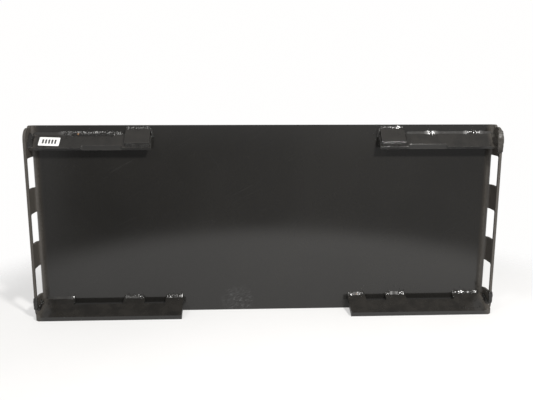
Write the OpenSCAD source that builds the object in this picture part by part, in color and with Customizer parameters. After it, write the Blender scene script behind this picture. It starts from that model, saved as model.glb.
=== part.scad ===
// Weld-on mounting plate for the attachment side of a skid steer quick coupler.
// X runs across the plate, -Y faces the machine, +Y faces the attachment, Z is up.
// The origin is the middle of the rear weld face's bottom edge.

/* [Back plate] */
// Overall width across the two side flanges
plate_w = 1156; // [1130:1:1200]
// Height from the bottom edge to the top edge
plate_h = 478; // [460:1:520]
// Thickness of the formed sheet
plate_t = 6.35; // [4:0.05:8]
// Inside radius of the two side bends
bend_r = 9; // [6:0.5:11]
// How far the side flanges stand forward of the plate's front face
flange_depth = 45; // [42:1:50]
// How much shorter the flanges are than the plate, at the top and at the bottom
flange_gap = 5; // [3:0.5:7]
// Radius of the plate's corners beside the bend reliefs
plate_corner_r = 8; // [6:0.5:9]
// Width and depth of the V reliefs between the plate's corners and the flanges' ends
relief_v = 4; // [2:0.5:5]
// Radius of the flanges' lower front corner
flange_toe_r = 16; // [8:1:20]
// Radius of the flanges' upper front corner
flange_top_r = 28; // [16:1:29]

/* [Side slots] */
// Number of slots in each side flange
slot_count = 3; // [1:1:3]
// Height of the lowest slot's centre
slot_first_z = 90; // [80:1:100]
// Distance from one slot's centre to the next
slot_pitch = 137; // [110:1:140]
// Length of each slot
slot_len = 76; // [40:1:80]
// Radius of the slots' corners
slot_corner_r = 5; // [3:0.5:14]
// Width of the thin rim left in front of the slots
slot_rim = 5.5; // [4:0.5:12]
// Angle round the bend at which the slots' rear edge lies
slot_bend_angle = 37; // [20:1:50]

/* [Top lips] */
// Height at which the lips' upper surface meets the plate
top_lip_z = 458; // [450:1:462]
// Slope of the lips, down towards the machine
top_lip_angle = 45; // [40:1:50]
// Length of the lips down their slope
top_lip_len = 45; // [42:1:52]
// Thickness of the lips
top_lip_t = 9.5; // [8:0.5:12]
// Distance from the middle of the plate to the lips' inner ends
top_lip_inner_x = 280; // [260:1:290]
// Where the shallow recess in the lips' front edge starts
recess_inner_x = 349; // [349:1:360]
// Where the shallow recess in the lips' front edge ends
recess_outer_x = 447; // [400:1:470]
// Distance from the plate's front face to the recess
recess_y = 26; // [24:0.5:30]
// Radius of the recess's corners
recess_r = 5; // [2:0.5:6]

/* [Doubler blocks] */
// Distance from the middle of the plate to the blocks' inner ends
doubler_inner_x = 283; // [281:1:292]
// Width of the blocks
doubler_w = 60; // [40:1:61]
// Length of the blocks down the slope
doubler_len = 38; // [30:1:40]
// Thickness of the blocks
doubler_t = 9.5; // [6:0.5:12]

/* [Bottom lips] */
// Height at which the lips' upper surface meets the plate
bottom_lip_z = 38; // [34:1:44]
// Slope of the lips, down towards the machine
bottom_lip_angle = 21.5; // [20:0.5:24]
// Thickness of the lips
bottom_lip_t = 12.7; // [10:0.1:14]
// Distance from the middle of the plate to the lips' inner ends
bottom_lip_inner_x = 213; // [190:1:230]
// Distance from the middle of the plate to each pin slot's centre
pin_slot_x = 427; // [420:0.5:430]
// Width of each pin slot
pin_slot_w = 124; // [100:1:130]
// Distance from the middle of the plate to each small notch's centre
notch_x = 285; // [275:1:290]
// Width of each small notch
notch_w = 53; // [30:1:56]
// Depth of the pin slots and notches, out from the plate's front face
notch_depth = 23.5; // [18:0.5:28]
// Radius of the pin slots' and notches' corners
notch_r = 4; // [2:0.5:6]
// Length along X of the cut on the outer front corners
lip_corner_x = 14; // [8:1:24]
// Depth along Y of the cut on the outer front corners
lip_corner_y = 8; // [5:1:16]
// Radius of the inner front corners
lip_corner_r = 6; // [2:0.5:10]

/* [Welds] */
// Leg of the fillet welds between the lips and the plate
weld_leg = 7; // [4:0.5:8]
// Leg of the fillet welds between the top lips and the flanges
corner_weld_leg = 11; // [7:0.5:12]
// Leg of the fillet welds round the doubler blocks
block_weld_leg = 5.5; // [3:0.5:6.5]
// How far a bead's face bulges out past a straight one
weld_bulge = 0.8; // [0.2:0.1:1.5]
// How far the weld metal on the flanges' front edges stands out
build_up = 2.6; // [1:0.1:4]
// Height of the built-up weld on the right flange's upper front edge
edge_weld_len = 62; // [40:1:64]

/* [Label] */
// Width of the label
label_w = 49.5; // [30:1:60]
// Length of the label down the slope
label_len = 26; // [20:1:30]
// Thickness of the label
label_t = 0.25; // [0.2:0.05:0.5]
// Distance from the middle of the plate to the label's centre
label_x = 524; // [480:1:530]
// Distance down the slope to the label's centre
label_along = 25; // [24:1:28]
// Angle by which the label is stuck on askew
label_tilt = 2.5; // [0:0.5:5]

/* [Hidden] */
$fn = 48;
paint = [0.09, 0.088, 0.085];
bead_paint = [0.16, 0.155, 0.15];
label_white = [0.93, 0.93, 0.91];
cut = 1;
half_w = plate_w / 2;
front_y = -plate_t;
flange_in_x = half_w - plate_t;
flange_front_y = front_y - flange_depth;
flange_top_z = plate_h - flange_gap;
bend_x = flange_in_x - bend_r;
bend_y = front_y - bend_r;
bend_out_r = bend_r + plate_t;
bottom_lip_len = (bottom_lip_z - bottom_lip_t * cos(bottom_lip_angle)) / sin(bottom_lip_angle);
doubler_outer_x = doubler_inner_x + doubler_w;
weld_end_x = bend_x - cut;

// A point [y, z] on a lip: a distance down its slope and a height above its upper surface
function slope_point(root_z, angle, along, up) =
    [front_y - along * cos(angle) - up * sin(angle), root_z - along * sin(angle) + up * cos(angle)];

// Everything is drawn for the right side, +X, and mirrored for the left
module on_side(side) {
    if (side < 0)
        mirror([1, 0, 0]) children();
    else
        children();
}

// Extrudes a [y, z] outline along X
module along_x(x0, x1) {
    translate([x0, 0, 0])
        rotate([90, 0, 90])
            linear_extrude(x1 - x0) children();
}

// Extrudes an [x, z] outline along Y
module along_y(y0, y1) {
    translate([0, y1, 0])
        rotate([90, 0, 0])
            linear_extrude(y1 - y0) children();
}

// Places children drawn with X across, -Y down the slope and Z off the upper surface
module on_slope(root_z, angle) {
    translate([0, front_y, root_z])
        rotate([angle, 0, 0]) children();
}

// Rounded rectangle between two corners
module rounded_box_2d(x0, y0, x1, y1, r) {
    for (x = [x0 + r, x1 - r], y = [y0 + r, y1 - r])
        translate([x, y]) circle(r);
    translate([x0 + r, y0]) square([x1 - x0 - 2 * r, y1 - y0]);
    translate([x0, y0 + r]) square([x1 - x0, y1 - y0 - 2 * r]);
}

// The area left outside a rounded corner whose edges run along -X and -Y from [0, 0]
module corner_waste_2d(r) {
    difference() {
        translate([-r, -r]) square(r + cut);
        translate([-r, -r]) circle(r);
    }
}

// --- Back plate ---

module flange_section_2d() {
    intersection() {
        translate([bend_x, bend_y]) square(bend_out_r + cut);
        difference() {
            translate([bend_x, bend_y]) circle(bend_out_r);
            translate([bend_x, bend_y]) circle(bend_r);
        }
    }
    translate([flange_in_x, flange_front_y])
        square([plate_t, flange_depth - bend_r]);
}

module plate_section_2d() {
    translate([-bend_x, front_y]) square([2 * bend_x, plate_t]);
    for (side = [-1, 1])
        on_side(side) flange_section_2d();
}

// Waste above a flange's end: the plate's rounded corner, the V relief and the gap
// left by the flange's lower end
module flange_end_waste() {
    corner_y = bend_y + plate_corner_r;
    relief_z = plate_h - plate_corner_r;
    along_x(bend_x, half_w + cut) {
        difference() {
            translate([bend_y, relief_z]) square([plate_corner_r, plate_corner_r + cut]);
            translate([corner_y, relief_z]) circle(plate_corner_r);
        }
        polygon([
            [bend_y, plate_h + cut],
            [bend_y, relief_z],
            [bend_y - relief_v / 2, relief_z],
            [bend_y - relief_v, flange_top_z],
            [flange_front_y - cut, flange_top_z],
            [flange_front_y - cut, plate_h + cut]
        ]);
    }
}

module side_slot(z) {
    slot_front_y = flange_front_y + slot_rim;
    wall_x = bend_x - cut;
    wall_end_x = half_w + cut;
    half_len = slot_len / 2;
    along_x(wall_x, wall_end_x) {
        rounded_box_2d(slot_front_y, z - half_len, bend_y, z + half_len, slot_corner_r);
        translate([bend_y - slot_corner_r - cut, z - half_len])
            square([slot_corner_r + cut, slot_len]);
    }
    translate([bend_x, bend_y, z - half_len])
        rotate_extrude(angle = 90 - slot_bend_angle)
            translate([bend_r - cut, 0]) square([plate_t + 2 * cut, slot_len]);
}

// Waste outside a flange's rounded front corners
module flange_corner_waste() {
    along_x(bend_x, half_w + cut) {
        translate([flange_front_y, flange_gap])
            rotate(180) corner_waste_2d(flange_toe_r);
        translate([flange_front_y, flange_top_z])
            rotate(90) corner_waste_2d(flange_top_r);
    }
}

module back_plate() {
    color(paint)
        difference() {
            linear_extrude(plate_h) plate_section_2d();
            for (side = [-1, 1])
                on_side(side) {
                    flange_end_waste();
                    translate([0, 0, plate_h])
                        mirror([0, 0, 1]) flange_end_waste();
                    flange_corner_waste();
                    for (i = [0 : slot_count - 1])
                        side_slot(slot_first_z + i * slot_pitch);
                }
        }
}

// --- Lips and doubler blocks ---

module lip_section_2d(root_z, angle, len, thickness) {
    polygon([
        [front_y, root_z],
        slope_point(root_z, angle, len, 0),
        slope_point(root_z, angle, len, -thickness),
        [front_y, root_z - thickness / cos(angle)]
    ]);
}

// Clears the inside of the side bend at a lip's outer end
module bend_clearance() {
    linear_extrude(plate_h)
        polygon([
            [bend_x, front_y],
            [bend_x, front_y + cut],
            [flange_in_x + cut, front_y + cut],
            [flange_in_x + cut, bend_y],
            [flange_in_x, bend_y]
        ]);
}

module top_lip(side) {
    recess_front_y = front_y - top_lip_len - cut;
    color(paint)
        on_side(side)
            difference() {
                along_x(top_lip_inner_x, flange_in_x)
                    lip_section_2d(top_lip_z, top_lip_angle, top_lip_len, top_lip_t);
                bend_clearance();
                linear_extrude(plate_h)
                    rounded_box_2d(recess_inner_x, recess_front_y,
                        recess_outer_x, front_y - recess_y, recess_r);
            }
}

module top_doubler(side) {
    color(paint)
        on_side(side)
            along_x(doubler_inner_x, doubler_outer_x)
                polygon([
                    [front_y, top_lip_z],
                    slope_point(top_lip_z, top_lip_angle, doubler_len, 0),
                    slope_point(top_lip_z, top_lip_angle, doubler_len, doubler_t),
                    [front_y, top_lip_z + doubler_t / cos(top_lip_angle)]
                ]);
}

module bottom_lip(side) {
    lip_front_y = slope_point(bottom_lip_z, bottom_lip_angle, bottom_lip_len, 0)[0];
    notch_front_y = front_y - notch_depth;
    color(paint)
        on_side(side)
            difference() {
                along_x(bottom_lip_inner_x, flange_in_x)
                    lip_section_2d(bottom_lip_z, bottom_lip_angle, bottom_lip_len, bottom_lip_t);
                bend_clearance();
                linear_extrude(plate_h) {
                    for (hole = [[pin_slot_x, pin_slot_w], [notch_x, notch_w]])
                        rounded_box_2d(hole[0] - hole[1] / 2, notch_front_y,
                            hole[0] + hole[1] / 2, front_y + 2 * notch_r, notch_r);
                    polygon([
                        [flange_in_x + cut, lip_front_y - cut],
                        [flange_in_x - lip_corner_x, lip_front_y - cut],
                        [flange_in_x - lip_corner_x, lip_front_y],
                        [flange_in_x, lip_front_y + lip_corner_y],
                        [flange_in_x + cut, lip_front_y + lip_corner_y]
                    ]);
                    translate([bottom_lip_inner_x, lip_front_y])
                        rotate(180) corner_waste_2d(lip_corner_r);
                }
            }
}

// --- Welds ---

// Fillet in the corner between the plate and a lip's upper surface
module root_weld(side, root_z, angle, x0, x1) {
    low = slope_point(root_z, angle, weld_leg, 0);
    high = [front_y, root_z + weld_leg];
    middle = (low + high) / 2;
    bulge = weld_bulge * [-cos(angle / 2), sin(angle / 2)];
    color(bead_paint)
        on_side(side)
            along_x(x0, x1)
                polygon([[front_y, root_z], low, middle + bulge, high]);
}

// Fillet between a lip's upper surface and the flange, run down the slope
module end_weld(root_z, angle, leg, start, end) {
    on_slope(root_z, angle)
        along_y(-end, -start)
            polygon([
                [flange_in_x, 0],
                [flange_in_x - leg, 0],
                [flange_in_x - leg / 2 - weld_bulge, leg / 2 + weld_bulge],
                [flange_in_x, leg]
            ]);
}

// Fillet on a lip's upper surface against one end of a doubler block, run down the slope
module block_end_bead(block_x, toe_x, height) {
    on_slope(top_lip_z, top_lip_angle)
        along_y(-doubler_len - block_weld_leg / 2, 0)
            polygon([[block_x, 0], [toe_x, 0], [block_x, height]]);
}

// Beads round a doubler block: along its front edge and its inner end, on the lip,
// along its top edge and beside its inner end, on the plate,
// and on the right-hand block also along its outer end
module doubler_weld(side) {
    leg = block_weld_leg;
    block_top_z = top_lip_z + doubler_t / cos(top_lip_angle);
    bead_outer_x = doubler_outer_x + (side > 0 ? leg / 2 : 0);
    color(bead_paint)
        on_side(side) {
            along_x(top_lip_inner_x, bead_outer_x)
                polygon([
                    slope_point(top_lip_z, top_lip_angle, doubler_len, 0),
                    slope_point(top_lip_z, top_lip_angle, doubler_len + leg, 0),
                    slope_point(top_lip_z, top_lip_angle, doubler_len, leg)
                ]);
            block_end_bead(doubler_inner_x, top_lip_inner_x, leg);
            if (side > 0)
                block_end_bead(doubler_outer_x, doubler_outer_x + leg, leg);
            along_x(doubler_inner_x - leg, doubler_outer_x)
                polygon([
                    [front_y, block_top_z],
                    slope_point(block_top_z, top_lip_angle, leg, 0),
                    [front_y, block_top_z + leg]
                ]);
            along_x(doubler_inner_x - leg, doubler_inner_x)
                polygon([
                    [front_y, top_lip_z],
                    slope_point(top_lip_z, top_lip_angle, leg, 0),
                    slope_point(block_top_z, top_lip_angle, leg, 0),
                    [front_y, block_top_z]
                ]);
        }
}

// Outline of the weld that wraps a flange's upper front edge and its rounded corner
module edge_weld_section_2d() {
    centre_y = flange_front_y + flange_top_r;
    centre_z = flange_top_z - flange_top_r;
    outer_r = flange_top_r + build_up;
    low_z = flange_top_z - edge_weld_len;
    intersection() {
        translate([centre_y - outer_r, centre_z]) square(outer_r);
        translate([centre_y, centre_z])
            difference() {
                circle(outer_r);
                circle(flange_top_r - weld_leg);
            }
    }
    translate([flange_front_y - build_up, low_z])
        square([build_up + weld_leg, centre_z - low_z]);
}

// Outline of a flange's upper front corner
module flange_corner_2d() {
    centre_y = flange_front_y + flange_top_r;
    centre_z = flange_top_z - flange_top_r;
    translate([centre_y, centre_z]) circle(flange_top_r);
    translate([flange_front_y, 0]) square([flange_top_r, centre_z]);
}

// Built-up weld on the right flange's upper front edge
module flange_edge_weld_right() {
    color(bead_paint)
        difference() {
            along_x(flange_in_x - weld_leg, half_w) edge_weld_section_2d();
            along_x(flange_in_x, half_w + cut) flange_corner_2d();
        }
}

module bottom_root_weld(side, x0, x1) {
    root_weld(side, bottom_lip_z, bottom_lip_angle, x0, x1);
}

// Beads between the top lips and the flanges; the right one stops short of the edge weld
module top_end_weld(side) {
    end = top_lip_len - (side > 0 ? weld_leg : 0);
    color(bead_paint)
        on_side(side)
            end_weld(top_lip_z, top_lip_angle, corner_weld_leg,
                bend_r / cos(top_lip_angle) + cut, end);
}

// Beads between the bottom lips and the flanges, carried on up the flanges' front edges
module bottom_end_weld(side) {
    fall = tan(bottom_lip_angle);
    foot_z = bottom_lip_z - flange_depth * fall;
    head_z = slot_first_z - slot_len / 2;
    color(bead_paint)
        on_side(side) {
            end_weld(bottom_lip_z, bottom_lip_angle, weld_leg,
                bend_r / cos(bottom_lip_angle) + weld_leg, flange_depth / cos(bottom_lip_angle));
            along_x(flange_in_x - weld_leg / 2, half_w)
                polygon([
                    [flange_front_y, foot_z],
                    [flange_front_y - build_up, foot_z - build_up * fall],
                    [flange_front_y - build_up, head_z - build_up],
                    [flange_front_y, head_z]
                ]);
        }
}

// --- Label ---

module label() {
    color(label_white)
        on_side(-1)
            on_slope(top_lip_z, top_lip_angle)
                translate([label_x, -label_along, 0])
                    rotate(label_tilt)
                        translate([-label_w / 2, -label_len / 2, 0])
                            cube([label_w, label_len, label_t]);
}

back_plate();
top_lip(-1);  // top_lip_left
top_lip(1);  // top_lip_right
top_doubler(-1);  // top_doubler_left
top_doubler(1);  // top_doubler_right
bottom_lip(-1);  // bottom_lip_left
bottom_lip(1);  // bottom_lip_right
label();
root_weld(-1, top_lip_z, top_lip_angle, doubler_outer_x + weld_leg, weld_end_x);  // top_root_weld_left
root_weld(1, top_lip_z, top_lip_angle, doubler_outer_x + weld_leg, weld_end_x);  // top_root_weld_right
top_end_weld(-1);  // top_end_weld_left
top_end_weld(1);  // top_end_weld_right
doubler_weld(-1);  // doubler_weld_left
doubler_weld(1);  // doubler_weld_right
flange_edge_weld_right();
bottom_root_weld(-1, bottom_lip_inner_x, notch_x - notch_w / 2);  // bottom_inner_weld_left
bottom_root_weld(1, bottom_lip_inner_x, notch_x - notch_w / 2);  // bottom_inner_weld_right
bottom_root_weld(-1, notch_x + notch_w / 2, pin_slot_x - pin_slot_w / 2);  // bottom_middle_weld_left
bottom_root_weld(1, notch_x + notch_w / 2, pin_slot_x - pin_slot_w / 2);  // bottom_middle_weld_right
bottom_root_weld(-1, pin_slot_x + pin_slot_w / 2, weld_end_x);  // bottom_outer_weld_left
bottom_root_weld(1, pin_slot_x + pin_slot_w / 2, weld_end_x);  // bottom_outer_weld_right
bottom_end_weld(-1);  // bottom_end_weld_left
bottom_end_weld(1);  // bottom_end_weld_right
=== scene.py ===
"""Looks for the skid steer attachment mounting plate: rounded plate edges, rippled weld beads with
spatter, worn semi-gloss black paint, a paper label, a pale floor and soft studio light."""

import math
import random

import bmesh
import bpy
from mathutils import Matrix, Vector, noise


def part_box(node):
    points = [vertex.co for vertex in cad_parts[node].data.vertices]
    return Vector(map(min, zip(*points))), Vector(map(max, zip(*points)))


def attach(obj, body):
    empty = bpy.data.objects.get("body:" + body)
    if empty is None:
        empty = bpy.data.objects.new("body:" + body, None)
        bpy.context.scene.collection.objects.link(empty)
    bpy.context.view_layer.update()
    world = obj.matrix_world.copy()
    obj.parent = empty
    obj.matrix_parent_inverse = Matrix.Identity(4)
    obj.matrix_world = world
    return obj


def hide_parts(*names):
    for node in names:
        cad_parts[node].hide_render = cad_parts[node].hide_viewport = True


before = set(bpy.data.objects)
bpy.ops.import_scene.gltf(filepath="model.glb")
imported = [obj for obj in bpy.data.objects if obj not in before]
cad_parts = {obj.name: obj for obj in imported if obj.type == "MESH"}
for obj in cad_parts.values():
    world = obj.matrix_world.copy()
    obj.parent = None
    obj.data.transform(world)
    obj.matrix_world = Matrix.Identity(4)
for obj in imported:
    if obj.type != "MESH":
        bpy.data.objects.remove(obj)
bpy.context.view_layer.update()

BODY = "root"
SIDES = {"left": -1, "right": 1}

# --- Places taken from the CAD frame, in metres ---

PLATE_LOW, PLATE_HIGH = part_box("back_plate")
TOP_LIP_LOW, TOP_LIP_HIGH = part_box("top_lip_right")
BLOCK_LOW, BLOCK_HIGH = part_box("top_doubler_right")
EDGE_WELD_LOW, EDGE_WELD_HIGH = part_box("flange_edge_weld_right")
FRONT_Y = TOP_LIP_HIGH.y
FLANGE_IN_X = TOP_LIP_HIGH.x
TOP_ROOT_Z = TOP_LIP_HIGH.z
BOTTOM_ROOT_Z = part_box("bottom_lip_right")[1].z
TOP_SLOPE = math.radians(45)
BOTTOM_SLOPE = math.radians(21.5)
EAST = Vector((1, 0, 0))
FORWARD = Vector((0, -1, 0))
UP = Vector((0, 0, 1))

# --- Steel pieces: lengths in metres, angles in radians ---

SAME_POINT = 1e-5
SHARP_ANGLE = math.radians(30)
FLAT_ANGLE = math.radians(1)
EDGE_RADIUS = 0.0009
BEND_INSIDE = 0.009

# --- Weld bead shape: lengths in metres, the rest as shares ---

BEAD_STEP = 0.0007
BEAD_ARC = 13
BEAD_SINK = 0.0004
WRAP_SIDES = 28
BUILD_UP = 0.0026
RIPPLE_PITCH = 0.0046
RIPPLE_HEIGHT = 0.00055
LUMP_HEIGHT = 0.0013
FINE_LUMP, COARSE_LUMP = 0.006, 0.012
SWELL = 0.16
CONVEXITY = 0.30
CONCAVITY = 0.45
CALM = 0.14
CALM_SIZE = 0.7
CALM_BLEND = 0.018


def down_slope(angle):
    """Unit vector down a lip, towards the machine."""
    return Vector((0, -math.cos(angle), -math.sin(angle)))


def off_slope(angle):
    """Unit normal of a lip's upper surface."""
    return Vector((0, -math.sin(angle), math.cos(angle)))


# --- Meshes ---


def finish_piece(name, bm, material, replaced):
    """Turns a bmesh into a piece that rides on the part and stands for CAD nodes."""
    mesh = bpy.data.meshes.new(name)
    bmesh.ops.recalc_face_normals(bm, faces=bm.faces)
    bm.to_mesh(mesh)
    bm.free()
    mesh.materials.append(material)
    mesh.polygons.foreach_set("use_smooth", [True] * len(mesh.polygons))
    piece = bpy.data.objects.new(name, mesh)
    bpy.context.scene.collection.objects.link(piece)
    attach(piece, BODY)
    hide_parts(*replaced)
    return piece


# Cosines that sort a steel piece's faces: turned up or down, facing a way, roughly facing it
STEEP, FACING, ROUGHLY_FACING = 0.3, 0.9, 0.7


def is_sheet_skin(face):
    """True for the rolled surfaces of the bent back plate, false for its cut edges."""
    centre, normal = face.calc_center_median(), face.normal
    if abs(normal.z) > STEEP:
        return False
    bend_x, bend_y = FLANGE_IN_X - BEND_INSIDE, FRONT_Y - BEND_INSIDE
    if abs(centre.x) <= bend_x:
        return abs(normal.y) > FACING
    if centre.y <= bend_y:
        return abs(normal.x) > FACING
    outward = Vector((abs(centre.x) - bend_x, centre.y - bend_y, 0)).normalized()
    return abs(outward.x * abs(normal.x) + outward.y * abs(normal.y)) > ROUGHLY_FACING


def skin_test(node):
    """The test that tells a steel piece's rolled surfaces from its cut edges."""
    if node == "back_plate":
        return is_sheet_skin
    rolled = off_slope(BOTTOM_SLOPE if node.startswith("bottom") else TOP_SLOPE)
    return lambda face: abs(face.normal.dot(rolled)) > FACING


def rounded_copy(node, material):
    """A steel piece in its CAD shape, with small rounded edges and masks for wear and cut edges."""
    bm = bmesh.new()
    bm.from_mesh(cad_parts[node].data)
    bmesh.ops.remove_doubles(bm, verts=bm.verts, dist=SAME_POINT)
    bmesh.ops.dissolve_limit(bm, angle_limit=FLAT_ANGLE, verts=bm.verts, edges=bm.edges)
    sharp = [edge for edge in bm.edges
             if edge.is_manifold and edge.calc_face_angle() > SHARP_ANGLE]
    rounded = bmesh.ops.bevel(bm, geom=sharp, offset=EDGE_RADIUS, segments=2, profile=0.5,
                              affect="EDGES", clamp_overlap=True)
    wear = bm.verts.layers.float.new("wear")
    bevel_faces = set(rounded["faces"])
    for vert in {v for face in bevel_faces for v in face.verts}:
        vert[wear] = float(all(face in bevel_faces for face in vert.link_faces))
    cut_edge = bm.verts.layers.float.new("cut_edge")
    is_skin = skin_test(node)
    for face in bm.faces:
        if face not in bevel_faces:
            for vert in face.verts:
                vert[cut_edge] = 0.0 if is_skin(face) else 1.0
    piece = finish_piece(node + "_steel", bm, material, [node])
    smooth = piece.modifiers.new("even_normals", "WEIGHTED_NORMAL")
    smooth.weight = 100
    return piece


def ripple(along, across, seed):
    """Height of a bead's crescent ripples: a steep leading side and a long trailing one."""
    drift_size, drift_rate, roundness, crest = 0.8, 90, 0.6, 0.85
    bow = 0.5 * RIPPLE_PITCH * math.sin(math.pi * across)
    drift = drift_size * noise.noise(Vector((along * drift_rate, seed, 0)))
    phase = ((along + bow) / RIPPLE_PITCH + drift) % 1.0
    fall = max(0, phase - crest) / (1 - crest)
    return RIPPLE_HEIGHT * phase ** roundness * (1 - fall)


def lumps(point, seed, size):
    """Uneven swelling of a bead, from -1 to 1, at a given lump size."""
    return noise.noise(point / size + Vector((seed, -seed, seed * 0.5)))


def end_taper(distance, reach):
    """Rounds a bead off towards its end, where it keeps a little of its size."""
    least = 0.02
    x = min(max(distance / reach, least), 1.0)
    return math.sqrt(1 - (1 - x) ** 2)


def restless(x, rough_spans):
    """How uneven a bead is at x: 1 inside its rough spans, CALM well outside them."""
    if rough_spans is None:
        return 1.0
    apart = min(max(low - x, x - high, 0) for low, high in rough_spans)
    return CALM + (1 - CALM) * max(0, 1 - apart / CALM_BLEND)


def add_bead(bm, start, end, leg_a, leg_b, leg, seed, rough_spans):
    """A rippled fillet from start to end, with legs along the unit vectors leg_a and leg_b."""
    taper_reach, lump_share = 0.8 * leg, 0.6
    length = (end - start).length
    along = (end - start) / length
    sink = -(leg_a + leg_b).normalized() * BEAD_SINK
    rows = max(6, int(length / BEAD_STEP))
    calm = bm.verts.layers.float["calm"]
    rings = []
    for i in range(rows + 1):
        s = length * i / rows
        root = start + along * s
        taper = end_taper(min(s, length - s), taper_reach)
        wild = restless(root.x, rough_spans)
        size = leg * taper * (CALM_SIZE + (1 - CALM_SIZE) * wild)
        swell_a = size * (1 + SWELL * lumps(root, seed, COARSE_LUMP))
        swell_b = size * (1 + SWELL * lumps(root, seed + 7.3, COARSE_LUMP))
        ring = [bm.verts.new(root + sink)]
        for j in range(BEAD_ARC):
            turn = j / (BEAD_ARC - 1)
            angle = turn * math.pi / 2
            across, upward = math.cos(angle), math.sin(angle)
            out = leg_a * across + leg_b * upward
            bulge = CONVEXITY * wild - CONCAVITY * (1 - wild)
            flat = (1 - bulge) / (across + upward) + bulge
            point = root + (leg_a * swell_a * across + leg_b * swell_b * upward) * flat
            lump = LUMP_HEIGHT * lump_share * lumps(point, seed + 3, FINE_LUMP)
            rise = ripple(s, turn, seed) + lump
            ring.append(bm.verts.new(point + sink + out.normalized() * rise * taper * wild))
        for vert in ring:
            vert[calm] = 1 - wild
        rings.append(ring)
    close_rings(bm, rings)


def close_rings(bm, rings):
    """Skins a row of equal closed rings and caps both ends."""
    count = len(rings[0])
    for low, high in zip(rings, rings[1:]):
        for j in range(count):
            k = (j + 1) % count
            bm.faces.new((low[j], low[k], high[k], high[j]))
    bm.faces.new(rings[0])
    bm.faces.new(list(reversed(rings[-1])))


def add_droplet(bm, place, normal, radius, flatness):
    """One flattened ball of spatter stuck to a surface, with most of its upper half showing."""
    raised = 0.3
    turn = normal.to_track_quat("Z", "X").to_matrix().to_4x4()
    shape = Matrix.Diagonal((radius, radius, radius * flatness, 1))
    where = Matrix.Translation(place + normal * radius * flatness * raised)
    bmesh.ops.create_icosphere(bm, subdivisions=2, radius=1, matrix=where @ turn @ shape)


def on_steel(place):
    """True where a droplet would still lie between the flanges and below the plate's top edge."""
    side_margin, top_margin = 0.001, 0.002
    return abs(place.x) < FLANGE_IN_X - side_margin and place.z < PLATE_HIGH.z - top_margin


def add_spatter(bm, start, end, legs, leg, count, rng, rough_spans):
    """Droplets strewn over the two faces beside a bead, thickest near its toes."""
    nearest, spread, farthest = 0.9, 1.6, 2.2
    smallest, largest, flattest, roundest = 0.0004, 0.0013, 0.4, 0.7
    for _ in range(count):
        side = rng.random() < 0.5
        leg_dir, other = (legs[0], legs[1]) if side else (legs[1], legs[0])
        normal = (other - leg_dir * other.dot(leg_dir)).normalized()
        away = leg * (nearest + min(rng.expovariate(spread), farthest))
        place = start.lerp(end, rng.random()) + leg_dir * away
        radius, flatness = rng.uniform(smallest, largest), rng.uniform(flattest, roundest)
        wanted = rng.random() < restless(place.x, rough_spans)
        if wanted and on_steel(place):
            add_droplet(bm, place, normal, radius, flatness)


def add_wrap(bm, path, half_x, half_out, seed):
    """A lumpy run laid over a front edge, along an evenly spaced path in a YZ plane."""
    boxiness, coarse_share, fine_share, ripple_share, fine_lump = 0.16, 1.5, 0.5, 0.6, 0.005
    rings = []
    for i, centre in enumerate(path):
        ahead, behind = path[min(i + 1, len(path) - 1)], path[max(i - 1, 0)]
        tangent = (ahead - behind).normalized()
        out = Vector((0, -tangent.z, tangent.y))
        step = (ahead - behind).length / (2 if 0 < i < len(path) - 1 else 1)
        taper = end_taper(min(i, len(path) - 1 - i) * step, half_x)
        ring = []
        for j in range(WRAP_SIDES):
            angle = 2 * math.pi * j / WRAP_SIDES
            side_on, front_on = math.cos(angle), math.sin(angle)
            direction = (EAST * side_on * half_out + out * front_on * half_x).normalized()
            boxy = 1 + boxiness * math.sin(2 * angle) ** 2
            point = centre + (EAST * side_on * half_x + out * front_on * half_out) * boxy * taper
            rise = LUMP_HEIGHT * (coarse_share * lumps(point, seed, COARSE_LUMP)
                                  + fine_share * lumps(point, seed + 5, fine_lump))
            rise += ripple_share * ripple(i * step, 0.5 + 0.5 * side_on, seed)
            ring.append(bm.verts.new(point + direction * rise * taper))
        rings.append(ring)
    close_rings(bm, rings)


def straight_path(start, end):
    """Evenly spaced points from start to end."""
    count = max(4, int((end - start).length / BEAD_STEP))
    return [start.lerp(end, i / count) for i in range(count + 1)]


# --- Weld pieces ---

# Where the beads were laid unevenly, as spans along X; the rest of these beads lies calm.
# NOWHERE is a span far off the part, for a bead that is calm throughout.
NOWHERE = ((9.0, 9.0),)
ROUGH_SPANS = {
    "top_root_weld_left": ((-0.490, -0.345),),
    "top_root_weld_right": ((0.410, 0.416), (0.508, 0.530)),
    "bottom_outer_weld_left": ((-0.494, -0.470),),
    "bottom_inner_weld_right": ((0.213, 0.222), (0.246, 0.259)),
    "bottom_middle_weld_right": ((0.311, 0.322), (0.350, 0.362)),
}


def bead_piece(name, runs, material, seed, balls=(), wraps=(), rough_spans=None):
    """One piece made of bead runs with spatter, single big droplets and runs over an edge."""
    ball_flatness = 0.45
    bm = bmesh.new()
    bm.verts.layers.float.new("calm")
    rng = random.Random(seed)
    for index, (start, end, leg_a, leg_b, leg, droplets) in enumerate(runs):
        add_bead(bm, start, end, leg_a, leg_b, leg, seed * 1.7 + index * 5.1, rough_spans)
        add_spatter(bm, start, end, (leg_a, leg_b), leg, droplets, rng, rough_spans)
    for place, normal, radius in balls:
        add_droplet(bm, place, normal, radius, ball_flatness)
    for path, half_x, half_out in wraps:
        add_wrap(bm, path, half_x, half_out, seed * 0.9)
    return finish_piece(name + "_bead", bm, material, [name])


def root_runs(node, side, root_z, slope, leg, droplets, longer=0.0):
    """The run between the plate and a lip, over the X range of its CAD node."""
    low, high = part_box(node)
    inner_x, outer_x = sorted((abs(low.x), abs(high.x)))
    start = Vector((side * inner_x, FRONT_Y, root_z))
    end = Vector((side * (outer_x + longer), FRONT_Y, root_z))
    return [(start, end, UP, down_slope(slope), leg, droplets)]


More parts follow.
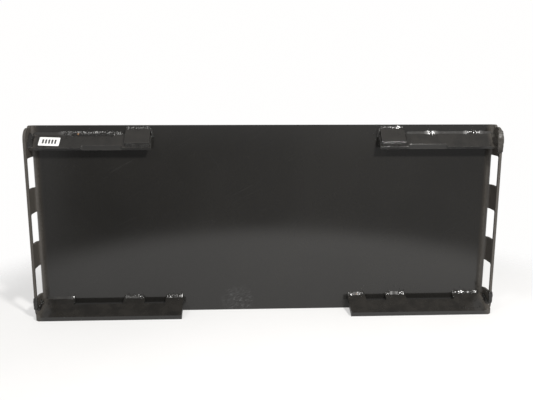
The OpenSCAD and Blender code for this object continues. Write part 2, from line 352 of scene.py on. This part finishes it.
def end_runs(side, root_z, slope, first, reach, leg, droplets):
    """The run between a lip and a flange, down the slope."""
    corner = Vector((side * FLANGE_IN_X, FRONT_Y, root_z))
    start = corner + down_slope(slope) * first
    end = corner + down_slope(slope) * reach
    return [(start, end, -EAST * side, off_slope(slope), leg, droplets)]


def doubler_runs(side, leg):
    """The runs round one doubler block; only the right one has a run at its outer end.

    Each run is its start, end, two leg directions, leg and number of droplets."""
    front_drops, top_drops, end_drops, plate_drops = 26, 16, 10, 14
    thin_leg, thinner_leg = leg * 0.8, leg * 0.75
    toe_in, toe_drop, inner_first, outer_first = 0.004, 0.011, 0.006, 0.004
    inner_x, outer_x = side * BLOCK_LOW.x, side * BLOCK_HIGH.x
    thickness = (BLOCK_HIGH.z - TOP_ROOT_Z) * math.cos(TOP_SLOPE)
    reach = (FRONT_Y - BLOCK_LOW.y - thickness * math.sin(TOP_SLOPE)) / math.cos(TOP_SLOPE)
    down, off = down_slope(TOP_SLOPE), off_slope(TOP_SLOPE)
    inward = -EAST * side
    inner_root = Vector((inner_x, FRONT_Y, TOP_ROOT_Z))
    outer_root = Vector((outer_x, FRONT_Y, TOP_ROOT_Z))
    inner_top = Vector((inner_x, FRONT_Y, BLOCK_HIGH.z))
    outer_top = Vector((outer_x, FRONT_Y, BLOCK_HIGH.z))
    toe = Vector((inner_x - side * toe_in, FRONT_Y, TOP_ROOT_Z - toe_drop))
    inner_start, inner_end = inner_root + down * inner_first, inner_root + down * reach
    outer_start, outer_end = outer_root + down * outer_first, outer_root + down * reach
    runs = [
        (inner_end, outer_end, down, off, leg, front_drops),
        (inner_top, outer_top, UP, down, thin_leg, top_drops),
        (inner_start, inner_end, inward, off, thinner_leg, end_drops),
        (inner_top, toe, inward, FORWARD, leg, plate_drops),
    ]
    if side > 0:
        runs.append((outer_start, outer_end, EAST, off, leg, plate_drops))
    return runs


def block_balls(side):
    """The big drops of spatter on and beside the right-hand block: place, normal and radius."""
    if side < 0:
        return []
    off = off_slope(TOP_SLOPE)
    on_block = Vector((BLOCK_LOW.x + 0.030, FRONT_Y - 0.002, BLOCK_HIGH.z - 0.001))
    return [
        (Vector((BLOCK_LOW.x - 0.004, FRONT_Y, BLOCK_HIGH.z)), FORWARD, 0.0022),
        (Vector((BLOCK_LOW.x - 0.017, FRONT_Y, BLOCK_HIGH.z - 0.018)), FORWARD, 0.0024),
        (on_block, off, 0.0020),
        (on_block + Vector((0.023, 0, 0)), off, 0.0024),
        (on_block + Vector((0.028, -0.003, -0.003)), off, 0.0017),
    ]


def lip_balls(node):
    """Drops of spatter near the front edge of the right bottom lip: place, normal and radius."""
    if node != "bottom_outer_weld_right":
        return []
    count, first_x, pitch, stray = 8, 0.493, 0.0075, 0.002
    nearest, farthest, smallest, largest = 0.056, 0.064, 0.0016, 0.0026
    rng = random.Random(41)
    off, down = off_slope(BOTTOM_SLOPE), down_slope(BOTTOM_SLOPE)
    balls = []
    for i in range(count):
        root = Vector((first_x + pitch * i + rng.uniform(-stray, stray), FRONT_Y, BOTTOM_ROOT_Z))
        place = root + down * rng.uniform(nearest, farthest)
        balls.append((place, off, rng.uniform(smallest, largest)))
    return balls


def edge_wrap():
    """The built-up weld round the right flange's upper front corner: path and half sizes."""
    inset, outward_shift, foot_drop = 0.0036, 0.0012, 0.001
    half_x, half_out, round_angle = 0.0070, 0.0040, math.radians(52)
    low, high = EDGE_WELD_LOW, EDGE_WELD_HIGH
    outer_radius = high.y - low.y
    radius = outer_radius - inset
    x = FLANGE_IN_X + outward_shift
    middle = Vector((x, high.y, high.z - outer_radius))
    bend_start = middle + FORWARD * radius
    path = straight_path(Vector((x, low.y + inset, low.z - foot_drop)), bend_start)
    count = int(radius * round_angle / BEAD_STEP)
    for i in range(1, count + 1):
        angle = round_angle * i / count
        path.append(middle + Vector((0, -math.cos(angle), math.sin(angle))) * radius)
    return [(path, half_x, half_out)]


def flange_foot_wrap(side):
    """The weld metal low on a flange's front edge: path and half sizes."""
    edge_middle, raised, half_x, half_out = 0.0033, 0.004, 0.0050, 0.0030
    low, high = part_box("bottom_end_weld_right")
    edge_y = EDGE_WELD_LOW.y + BUILD_UP
    x = side * (FLANGE_IN_X + edge_middle)
    start = Vector((x, edge_y, low.z + raised))
    end = Vector((x, edge_y, high.z + raised))
    return [(straight_path(start, end), half_x, half_out)]


def make_welds(material):
    """Every weld as a bead piece."""
    top_leg, corner_leg, block_leg, bottom_leg = 0.0060, 0.0110, 0.0055, 0.0068
    root_drops, top_end_drops, bottom_end_drops = 90, 22, 20
    longer, front_margin, ear_margin, top_first, bottom_first = 0.006, 0.008, 0.007, 0.002, 0.008
    top_reach = (TOP_ROOT_Z - TOP_LIP_LOW.z) / math.sin(TOP_SLOPE) - front_margin
    flange_reach = (FRONT_Y - PLATE_LOW.y) / math.cos(BOTTOM_SLOPE)
    for seed, (name, side) in enumerate(SIDES.items(), start=3):
        node = "top_root_weld_" + name
        runs = root_runs(node, side, TOP_ROOT_Z, TOP_SLOPE, top_leg, root_drops, longer)
        if side < 0:
            runs += repair_run()
        bead_piece(node, runs, material, seed * 11, rough_spans=ROUGH_SPANS[node])
        reach = top_reach - (ear_margin if side > 0 else 0)
        runs = end_runs(side, TOP_ROOT_Z, TOP_SLOPE, top_first, reach, corner_leg, top_end_drops)
        bead_piece("top_end_weld_" + name, runs, material, seed * 13,
                   rough_spans=NOWHERE if side > 0 else None)
        bead_piece("doubler_weld_" + name, doubler_runs(side, block_leg), material, seed * 17,
                   balls=block_balls(side))
        for place, droplets in (("inner", 16), ("middle", 18), ("outer", 30)):
            node = "bottom_" + place + "_weld_" + name
            runs = root_runs(node, side, BOTTOM_ROOT_Z, BOTTOM_SLOPE, bottom_leg, droplets)
            bead_piece(node, runs, material, seed * 19 + droplets, balls=lip_balls(node),
                       rough_spans=ROUGH_SPANS.get(node))
        runs = end_runs(side, BOTTOM_ROOT_Z, BOTTOM_SLOPE, bottom_first, flange_reach, bottom_leg,
                        bottom_end_drops)
        bead_piece("bottom_end_weld_" + name, runs, material, seed * 23,
                   wraps=flange_foot_wrap(side))
    bead_piece("flange_edge_weld_right", [], material, 5, wraps=edge_wrap())


def repair_run():
    """A second pass over part of the left top weld, lower on the lip."""
    start_x, lowered, length, leg, droplets = -0.372, 0.0045, 0.100, 0.0042, 24
    down = down_slope(TOP_SLOPE)
    start = Vector((start_x, FRONT_Y, TOP_ROOT_Z)) + down * lowered
    end = start - EAST * length
    return [(start, end, off_slope(TOP_SLOPE), down, leg, droplets)]


# --- Label ---


def rounded_outline(width, length, radius, steps=6):
    """Corner points of a rounded rectangle centred on the origin, anticlockwise."""
    points = []
    for quarter, (sx, sy) in enumerate(((1, 1), (-1, 1), (-1, -1), (1, -1))):
        for i in range(steps + 1):
            angle = (quarter + i / steps) * math.pi / 2
            points.append((sx * (width / 2 - radius) + radius * math.cos(angle),
                           sy * (length / 2 - radius) + radius * math.sin(angle)))
    return points


def add_sheet(bm, outline, base, top, slot_index):
    """A flat sheet between two heights, over an outline."""
    low = [bm.verts.new((x, y, base)) for x, y in outline]
    high = [bm.verts.new((x, y, top)) for x, y in outline]
    faces = [bm.faces.new(list(reversed(low))), bm.faces.new(high)]
    for i in range(len(outline)):
        k = (i + 1) % len(outline)
        faces.append(bm.faces.new((low[i], low[k], high[k], high[i])))
    for face in faces:
        face.material_index = slot_index


def make_label(paper, ink):
    """A blank white sticker with a few plain bars, stuck on a little askew."""
    width, length, thickness, corner = 0.0495, 0.026, 0.00025, 0.0025
    tilt = math.radians(-2.5)
    bars, bar_width, bar_pitch, bar_length, bar_corner = 5, 0.0046, 0.0074, 0.0130, 0.0006
    ink_thickness = 0.00003
    bar_outline = rounded_outline(bar_width, bar_length, bar_corner, 2)
    low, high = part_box("label")
    bm = bmesh.new()
    add_sheet(bm, rounded_outline(width, length, corner), 0, thickness, 0)
    for i in range(bars):
        shift = (i - (bars - 1) / 2) * bar_pitch
        outline = [(x + shift, y) for x, y in bar_outline]
        add_sheet(bm, outline, thickness, thickness + ink_thickness, 1)
    middle = (low + high) / 2
    off = off_slope(TOP_SLOPE)
    place = (Matrix.Translation(middle - off * thickness / 2)
             @ Matrix.Rotation(TOP_SLOPE, 4, "X") @ Matrix.Rotation(tilt, 4, "Z"))
    bm.transform(place)
    piece = finish_piece("label_sticker", bm, paper, ["label"])
    piece.data.materials.append(ink)
    piece.data.polygons.foreach_set("use_smooth", [False] * len(piece.data.polygons))
    return piece


# --- Materials ---


class Surface:
    """A node material in the making: its Principled shader, and coordinates in metres."""

    def __init__(self, name):
        self.material = bpy.data.materials.new(name)
        self.material.use_nodes = True
        self.tree = self.material.node_tree
        self.shader = self.tree.nodes["Principled BSDF"]
        self.place = self.add("ShaderNodeTexCoord").outputs["Object"]

    def add(self, kind, **settings):
        node = self.tree.nodes.new(kind)
        for key, value in settings.items():
            setattr(node, key, value)
        return node

    def feed(self, node, values):
        """Sets or links inputs by name or number."""
        for key, value in values.items():
            if isinstance(value, bpy.types.NodeSocket):
                self.tree.links.new(value, node.inputs[key])
            else:
                node.inputs[key].default_value = value
        return node

    def noise(self, scale, detail=4.0, where=None):
        node = self.add("ShaderNodeTexNoise")
        self.feed(node, {"Vector": where or self.place, "Scale": scale, "Detail": detail})
        return node.outputs["Fac"]

    def range(self, value, low, high, out_low=0.0, out_high=1.0):
        node = self.add("ShaderNodeMapRange", interpolation_type="SMOOTHSTEP")
        self.feed(node, {"Value": value, "From Min": low, "From Max": high,
                         "To Min": out_low, "To Max": out_high})
        return node.outputs["Result"]

    def math(self, operation, first, second, clamp=False):
        node = self.add("ShaderNodeMath", operation=operation, use_clamp=clamp)
        self.feed(node, {0: first, 1: second})
        return node.outputs[0]

    def mix(self, amount, first, second):
        node = self.add("ShaderNodeMix", data_type="RGBA")
        self.feed(node, {0: amount, 6: first, 7: second})
        return node.outputs[2]

    def tinted(self, colour, mask, share, other):
        """A colour moved towards another by a share of a mask."""
        return self.mix(self.math("MULTIPLY", mask, share), colour, other)

    def dulled(self, rough, mask, amount):
        """A roughness raised by an amount where a mask is 1."""
        return self.math("ADD", rough, self.math("MULTIPLY", mask, amount), clamp=True)

    def stored(self, name):
        """A mask kept on the mesh's points, 0 on a mesh that has none."""
        return self.add("ShaderNodeAttribute", attribute_name=name).outputs["Fac"]

    def turned(self, turn, stretch):
        """Coordinates turned about Y and then stretched, for streaks and scratches."""
        turned = self.add("ShaderNodeMapping")
        self.feed(turned, {"Vector": self.place, "Rotation": (0, math.radians(turn), 0)})
        stretched = self.add("ShaderNodeMapping")
        self.feed(stretched, {"Vector": turned.outputs[0], "Scale": stretch})
        return stretched.outputs[0]

    def scratches(self, turn, fineness, rarity):
        """Fine straight scratches lying one way, in scattered patches."""
        along, patch_scale, edge = 6, 7.0, 0.03
        lines = self.noise(1.0, 2.0, self.turned(turn, (along, fineness, fineness)))
        patches = self.noise(patch_scale, 2.0, self.turned(turn * 3, (1, 1, 1)))
        patches = self.range(patches, 0.5, 0.62)
        return self.math("MULTIPLY", self.range(lines, rarity, rarity + edge), patches)

    def spot(self, centre, radius, ragged=0.4):
        """A ragged patch round a point, 1 in the middle and 0 outside."""
        apart = self.add("ShaderNodeVectorMath", operation="DISTANCE")
        self.feed(apart, {0: self.place, 1: centre})
        rough = self.math("MULTIPLY", self.noise(3.0 / radius, 3.0), 2 * ragged * radius)
        edge = self.math("ADD", apart.outputs["Value"], rough)
        return self.range(edge, radius * (0.5 + ragged), radius * (1 + ragged), 1.0, 0.0)

    def split(self, vector):
        """A vector's X, Y and Z outputs."""
        return self.feed(self.add("ShaderNodeSeparateXYZ"), {0: vector}).outputs

    def rear(self):
        """1 on surfaces behind the plate's front face, 0 elsewhere."""
        return self.range(self.split(self.place)["Y"], FRONT_Y + 0.002, FRONT_Y + 0.004)

    def painted_flange_sheen(self):
        """Mask inside the flanges and their bends, thinning out over the plate: there the paint is
        painted lighter, a painted sheen in place of reflected light, and made duller.
        """
        first_x, full_x = FLANGE_IN_X - 2.5 * BEND_INSIDE, FLANGE_IN_X - 0.3 * BEND_INSIDE
        across = self.math("ABSOLUTE", self.split(self.place)["X"], 0.0)
        grain = self.range(self.noise(160.0, 4.0), 0.3, 0.7, 0.75, 1.0)
        return self.math("MULTIPLY", self.range(across, first_x, full_x), grain)

    def upward(self):
        """How much a surface faces up, from 0 to 1."""
        normal = self.add("ShaderNodeNewGeometry").outputs["Normal"]
        return self.range(self.split(normal)["Z"], 0.15, 1.0)

    def bump(self, height, distance, strength, below=None):
        node = self.add("ShaderNodeBump")
        self.feed(node, {"Height": height, "Distance": distance, "Strength": strength})
        if below is not None:
            self.feed(node, {"Normal": below})
        return node.outputs["Normal"]


PAINT_DEEP = (0.0123, 0.0118, 0.0110, 1)
PAINT_THIN = (0.0157, 0.0150, 0.0139, 1)
# The dust colour, which also tints the painted sheen inside the flanges and the partly painted
# glare on the ear.
DUST_AND_SHEEN = (0.110, 0.098, 0.084, 1)
WORN = (0.085, 0.080, 0.074, 1)
SCRATCHED = (0.110, 0.107, 0.102, 1)
SCUFFED = (0.320, 0.325, 0.335, 1)
RUST = (0.30, 0.15, 0.06, 1)
PAPER_DULL = (0.80, 0.80, 0.785, 1)
PAPER_BRIGHT = (0.88, 0.88, 0.87, 1)
PAPER_SOIL = (0.55, 0.53, 0.49, 1)
INK_FULL = (0.020, 0.020, 0.022, 1)
INK_WORN = (0.16, 0.16, 0.16, 1)

# Marks on the paint: centre and radius of each
SCRATCH_PATCH = ((-0.375, FRONT_Y, 0.370), 0.060)
SCUFF_PATCH = ((-0.072, FRONT_Y, 0.022), 0.050)
# The ear patch is lighter partly from duller, dusty paint and partly as painted glare.
EAR_PATCH = (EDGE_WELD_LOW.lerp(EDGE_WELD_HIGH, 0.5), 0.040)
RUST_PATCHES = (((-0.457, FRONT_Y - 0.004, TOP_ROOT_Z - 0.001), 0.0036),
                ((0.236, FRONT_Y - 0.003, BOTTOM_ROOT_Z), 0.0016))


def painted_steel():
    """Semi-gloss black enamel on sheet and bar: uneven film, dust, scratches, rubbed edges and a
    painted sheen inside the flanges.
    """
    painted_sheen_share, scratch_tint, scuff_tint, stray_scratches = 0.50, 0.26, 0.25, 0.12
    dust_dull, scratch_dull, flange_inside_dull, cut_edge_dull = 0.35, 0.15, 0.30, 0.34
    s = Surface("black_enamel")
    painted_flange_sheen = s.painted_flange_sheen()
    film = s.range(s.noise(3.0, 3.0), 0.3, 0.7)
    colour = s.mix(film, PAINT_DEEP, PAINT_THIN)
    # Painted sheen: the paint inside the flanges and bends is lightened towards the dust colour,
    # standing in for light reflected there.
    colour = s.tinted(colour, painted_flange_sheen, painted_sheen_share, DUST_AND_SHEEN)
    speckle = s.range(s.noise(420.0, 3.0), 0.60, 0.80, 0.0, 0.10)
    colour = s.mix(speckle, colour, WORN)
    dust = s.math("MULTIPLY", s.upward(), s.range(s.noise(38.0, 6.0), 0.25, 0.75, 0.02, 0.12))
    colour = s.mix(dust, colour, DUST_AND_SHEEN)
    scratches = s.math("ADD", s.scratches(28, 520, 0.66), s.scratches(-61, 640, 0.67), clamp=True)
    scratched = s.math("ADD", s.spot(*SCRATCH_PATCH), s.rear(), clamp=True)
    scratched = s.math("ADD", scratched, stray_scratches, clamp=True)
    scratches = s.math("MULTIPLY", scratches, scratched)
    colour = s.tinted(colour, scratches, scratch_tint, SCRATCHED)
    streaks = s.range(s.noise(1.0, 4.0, s.turned(24, (70, 1100, 1100))), 0.55, 0.66)
    scuff = s.math("MULTIPLY", s.spot(*SCUFF_PATCH), streaks)
    colour = s.tinted(colour, scuff, scuff_tint, SCUFFED)
    worn = s.range(s.noise(85.0, 4.0), 0.35, 0.65, 0.1, 0.8)
    colour = s.mix(s.math("MULTIPLY", s.stored("wear"), worn), colour, WORN)
    rough = s.range(s.noise(5.5, 4.0), 0.3, 0.7, 0.095, 0.125)
    rough = s.math("ADD", rough, s.range(s.noise(60.0, 4.0), 0.45, 0.8, 0.0, 0.02))
    rough = s.dulled(rough, dust, dust_dull)
    rough = s.dulled(rough, scratches, scratch_dull)
    rough = s.dulled(rough, painted_flange_sheen, flange_inside_dull)
    rough = s.dulled(rough, s.stored("cut_edge"), cut_edge_dull)
    peel = s.bump(s.noise(520.0, 2.0), 0.000012, 0.30)
    sag = s.bump(s.noise(14.0, 1.0), 0.00006, 0.10, peel)
    s.feed(s.shader, {"Base Color": colour, "Roughness": rough, "Normal": sag})
    return s.material


def painted_weld():
    """The same enamel, thicker and glossier over weld metal, with grit, specks of rust and a
    lighter ear that is partly painted glare.
    """
    dust_dull, calm_dull, ear_dull, ear_dust_and_glare_tint, ear_ragged = 0.30, 0.65, 0.30, 0.30, 0.15
    s = Surface("weld_enamel")
    colour = s.mix(s.range(s.noise(70.0, 4.0), 0.35, 0.65), PAINT_DEEP, PAINT_THIN)
    bare = s.range(s.noise(310.0, 4.0), 0.62, 0.74, 0.0, 0.35)
    colour = s.mix(bare, colour, WORN)
    dust = s.math("MULTIPLY", s.upward(), s.range(s.noise(90.0, 4.0), 0.35, 0.75, 0.0, 0.12))
    colour = s.mix(dust, colour, DUST_AND_SHEEN)
    for centre, radius in RUST_PATCHES:
        colour = s.mix(s.spot(centre, radius), colour, RUST)
    # The ear is made lighter and browner, partly as duller dusty paint and partly as painted glare
    # from the bright background round it; it is also made rougher.
    ear = s.spot(*EAR_PATCH, ear_ragged)
    colour = s.tinted(colour, ear, ear_dust_and_glare_tint, DUST_AND_SHEEN)
    rough = s.range(s.noise(140.0, 3.0), 0.3, 0.75, 0.10, 0.24)
    rough = s.dulled(rough, dust, dust_dull)
    rough = s.dulled(rough, s.stored("calm"), calm_dull)
    rough = s.dulled(rough, ear, ear_dull)
    grit = s.bump(s.noise(900.0, 3.0), 0.00005, 0.35)
    pits = s.bump(s.noise(260.0, 3.0), 0.0003, 0.35, grit)
    s.feed(s.shader, {"Base Color": colour, "Roughness": rough, "Normal": pits})
    return s.material


def label_paper():
    """Matt white sticker paper, faintly fibrous and a little soiled at its edges."""
    s = Surface("sticker_paper")
    fibre = s.range(s.noise(900.0, 4.0), 0.3, 0.7)
    colour = s.mix(fibre, PAPER_DULL, PAPER_BRIGHT)
    soil = s.range(s.noise(95.0, 5.0), 0.55, 0.8, 0.0, 0.35)
    colour = s.mix(soil, colour, PAPER_SOIL)
    rough = s.range(s.noise(300.0, 3.0), 0.3, 0.7, 0.48, 0.62)
    crease = s.bump(s.noise(140.0, 3.0), 0.00015, 0.3)
    s.feed(s.shader, {"Base Color": colour, "Roughness": rough, "Normal": crease})
    return s.material


def label_ink():
    """Thin grey-black print."""
    s = Surface("sticker_ink")
    worn = s.range(s.noise(1400.0, 3.0), 0.45, 0.7)
    colour = s.mix(worn, INK_FULL, INK_WORN)
    rough = s.range(s.noise(400.0, 2.0), 0.3, 0.7, 0.4, 0.55)
    s.feed(s.shader, {"Base Color": colour, "Roughness": rough})
    return s.material


# --- Stage ---

FLOOR_CENTRE = Vector((0.031, -0.006, 0))
FLOOR_RADIUS = 0.867
FLOOR_FADE = 0.165
STUDIO_WHITE = (1, 0.995, 0.99, 1)
LAMP_WHITE = (1, 0.985, 0.96)


def make_floor():
    """A plain pale disc of floor that fades out at its rim."""
    ring_count, steps, roughness, glow = 12, 96, 0.85, 0.46
    low_tone, high_tone = (0.42, 0.417, 0.414, 1), (0.45, 0.447, 0.444, 1)
    bm = bmesh.new()
    reach = FLOOR_RADIUS + FLOOR_FADE
    rings = []
    for i in range(1, ring_count + 1):
        radius = reach * i / ring_count
        rings.append([bm.verts.new(FLOOR_CENTRE + Vector((
            radius * math.cos(2 * math.pi * j / steps),
            radius * math.sin(2 * math.pi * j / steps), 0))) for j in range(steps)])
    bm.faces.new(rings[0])
    for low, high in zip(rings, rings[1:]):
        for j in range(steps):
            k = (j + 1) % steps
            bm.faces.new((low[j], low[k], high[k], high[j]))
    mesh = bpy.data.meshes.new("floor")
    bmesh.ops.recalc_face_normals(bm, faces=bm.faces)
    bm.to_mesh(mesh)
    bm.free()
    s = Surface("pale_floor")
    tone = s.mix(s.range(s.noise(2.0, 3.0), 0.3, 0.7), low_tone, high_tone)
    apart = s.add("ShaderNodeVectorMath", operation="DISTANCE")
    s.feed(apart, {0: s.place, 1: FLOOR_CENTRE})
    fade = s.range(apart.outputs["Value"], FLOOR_RADIUS - FLOOR_FADE, reach, 1.0, 0.0)
    s.feed(s.shader, {"Base Color": tone, "Roughness": roughness, "Alpha": fade,
                      "Emission Color": STUDIO_WHITE, "Emission Strength": glow})
    mesh.materials.append(s.material)
    floor = bpy.data.objects.new("floor", mesh)
    bpy.context.scene.collection.objects.link(floor)


def make_softbox(name, place, width, power):
    """A square lamp, aimed at the lower part of the plate."""
    target = Vector((0, 0, 0.15))
    light = bpy.data.lights.new(name, "AREA")
    light.shape = "RECTANGLE"
    light.size, light.size_y = width, width
    light.energy = power
    light.color = LAMP_WHITE
    lamp = bpy.data.objects.new(name, light)
    lamp.location = place
    lamp.rotation_euler = (target - Vector(place)).to_track_quat("-Z", "Y").to_euler()
    bpy.context.scene.collection.objects.link(lamp)


def world_ramp(tree, value, low, high, out_low, out_high):
    """A smooth step from one brightness to another; each is a number or another ramp."""
    ramp = tree.nodes.new("ShaderNodeMapRange")
    ramp.interpolation_type = "SMOOTHSTEP"
    tree.links.new(value, ramp.inputs["Value"])
    for key, number in (("From Min", low), ("From Max", high)):
        ramp.inputs[key].default_value = number
    for key, number in (("To Min", out_low), ("To Max", out_high)):
        if isinstance(number, float):
            ramp.inputs[key].default_value = number
        else:
            tree.links.new(number, ramp.inputs[key])
    return ramp.outputs["Result"]


def make_world():
    """White to the camera. As light, a pale studio that is dim in front: dimmest on the left, next
    to a brighter panel, and lifted from just below the horizon upwards."""
    front_left, front_right, horizon_lift, left_panel = 0.08, 0.31, 0.30, 0.42
    side_light, sky_light = 0.80, 0.43
    world = bpy.data.worlds.new("studio")
    world.use_nodes = True
    bpy.context.scene.world = world
    tree = world.node_tree
    nodes, links = tree.nodes, tree.links
    background = nodes["Background"]
    place = nodes.new("ShaderNodeTexCoord")
    split = nodes.new("ShaderNodeSeparateXYZ")
    links.new(place.outputs["Generated"], split.inputs[0])
    front = world_ramp(tree, split.outputs["X"], -0.32, 0.30, front_left, front_right)
    front = world_ramp(tree, split.outputs["X"], -0.30, -0.25, left_panel, front)
    horizon = world_ramp(tree, split.outputs["Z"], -0.11, -0.06, 0.0, horizon_lift)
    raised = nodes.new("ShaderNodeMath")
    raised.operation = "ADD"
    links.new(front, raised.inputs[0])
    links.new(horizon, raised.inputs[1])
    around = world_ramp(tree, split.outputs["Y"], -0.75, -0.25, raised.outputs[0], side_light)
    light = world_ramp(tree, split.outputs["Z"], 0.0, 0.45, around, sky_light)
    path = nodes.new("ShaderNodeLightPath")
    seen = nodes.new("ShaderNodeMath")
    seen.operation = "MAXIMUM"
    links.new(light, seen.inputs[0])
    links.new(path.outputs["Is Camera Ray"], seen.inputs[1])
    background.inputs["Color"].default_value = STUDIO_WHITE
    links.new(seen.outputs[0], background.inputs["Strength"])


def make_lights():
    """A small strong lamp in front on the right, and a larger, weaker one on the left."""
    make_softbox("key", (0.8, -1.6, 1.75), 0.24, 58)
    make_softbox("fill", (-1.3, -1.5, 1.9), 0.5, 14)


def make_camera():
    """The viewpoint: in front of the machine side, a little left and above, tipped down."""
    focal_length = 41.34
    place = Vector((-0.0679, FRONT_Y - 1.5147, 0.5822))
    tip, turn, roll = math.radians(10.923), math.radians(-2.608), math.radians(0.060)
    data = bpy.data.cameras.new("camera")
    data.lens = focal_length
    data.sensor_width = 36
    camera = bpy.data.objects.new("camera", data)
    camera.location = place
    aim = (Matrix.Rotation(turn, 3, "Z") @ Matrix.Rotation(math.pi / 2 - tip, 3, "X")
           @ Matrix.Rotation(roll, 3, "Z"))
    camera.rotation_euler = aim.to_euler()
    bpy.context.scene.collection.objects.link(camera)
    bpy.context.scene.camera = camera


def main():
    """Builds the pieces and the studio round them."""
    make_camera()
    steel = painted_steel()
    for node in ("back_plate", "top_lip_left", "top_lip_right", "top_doubler_left",
                 "top_doubler_right", "bottom_lip_left", "bottom_lip_right"):
        rounded_copy(node, steel)
    make_welds(painted_weld())
    make_label(label_paper(), label_ink())
    make_floor()
    make_world()
    make_lights()
    bpy.context.scene.view_settings.view_transform = "Standard"


main()
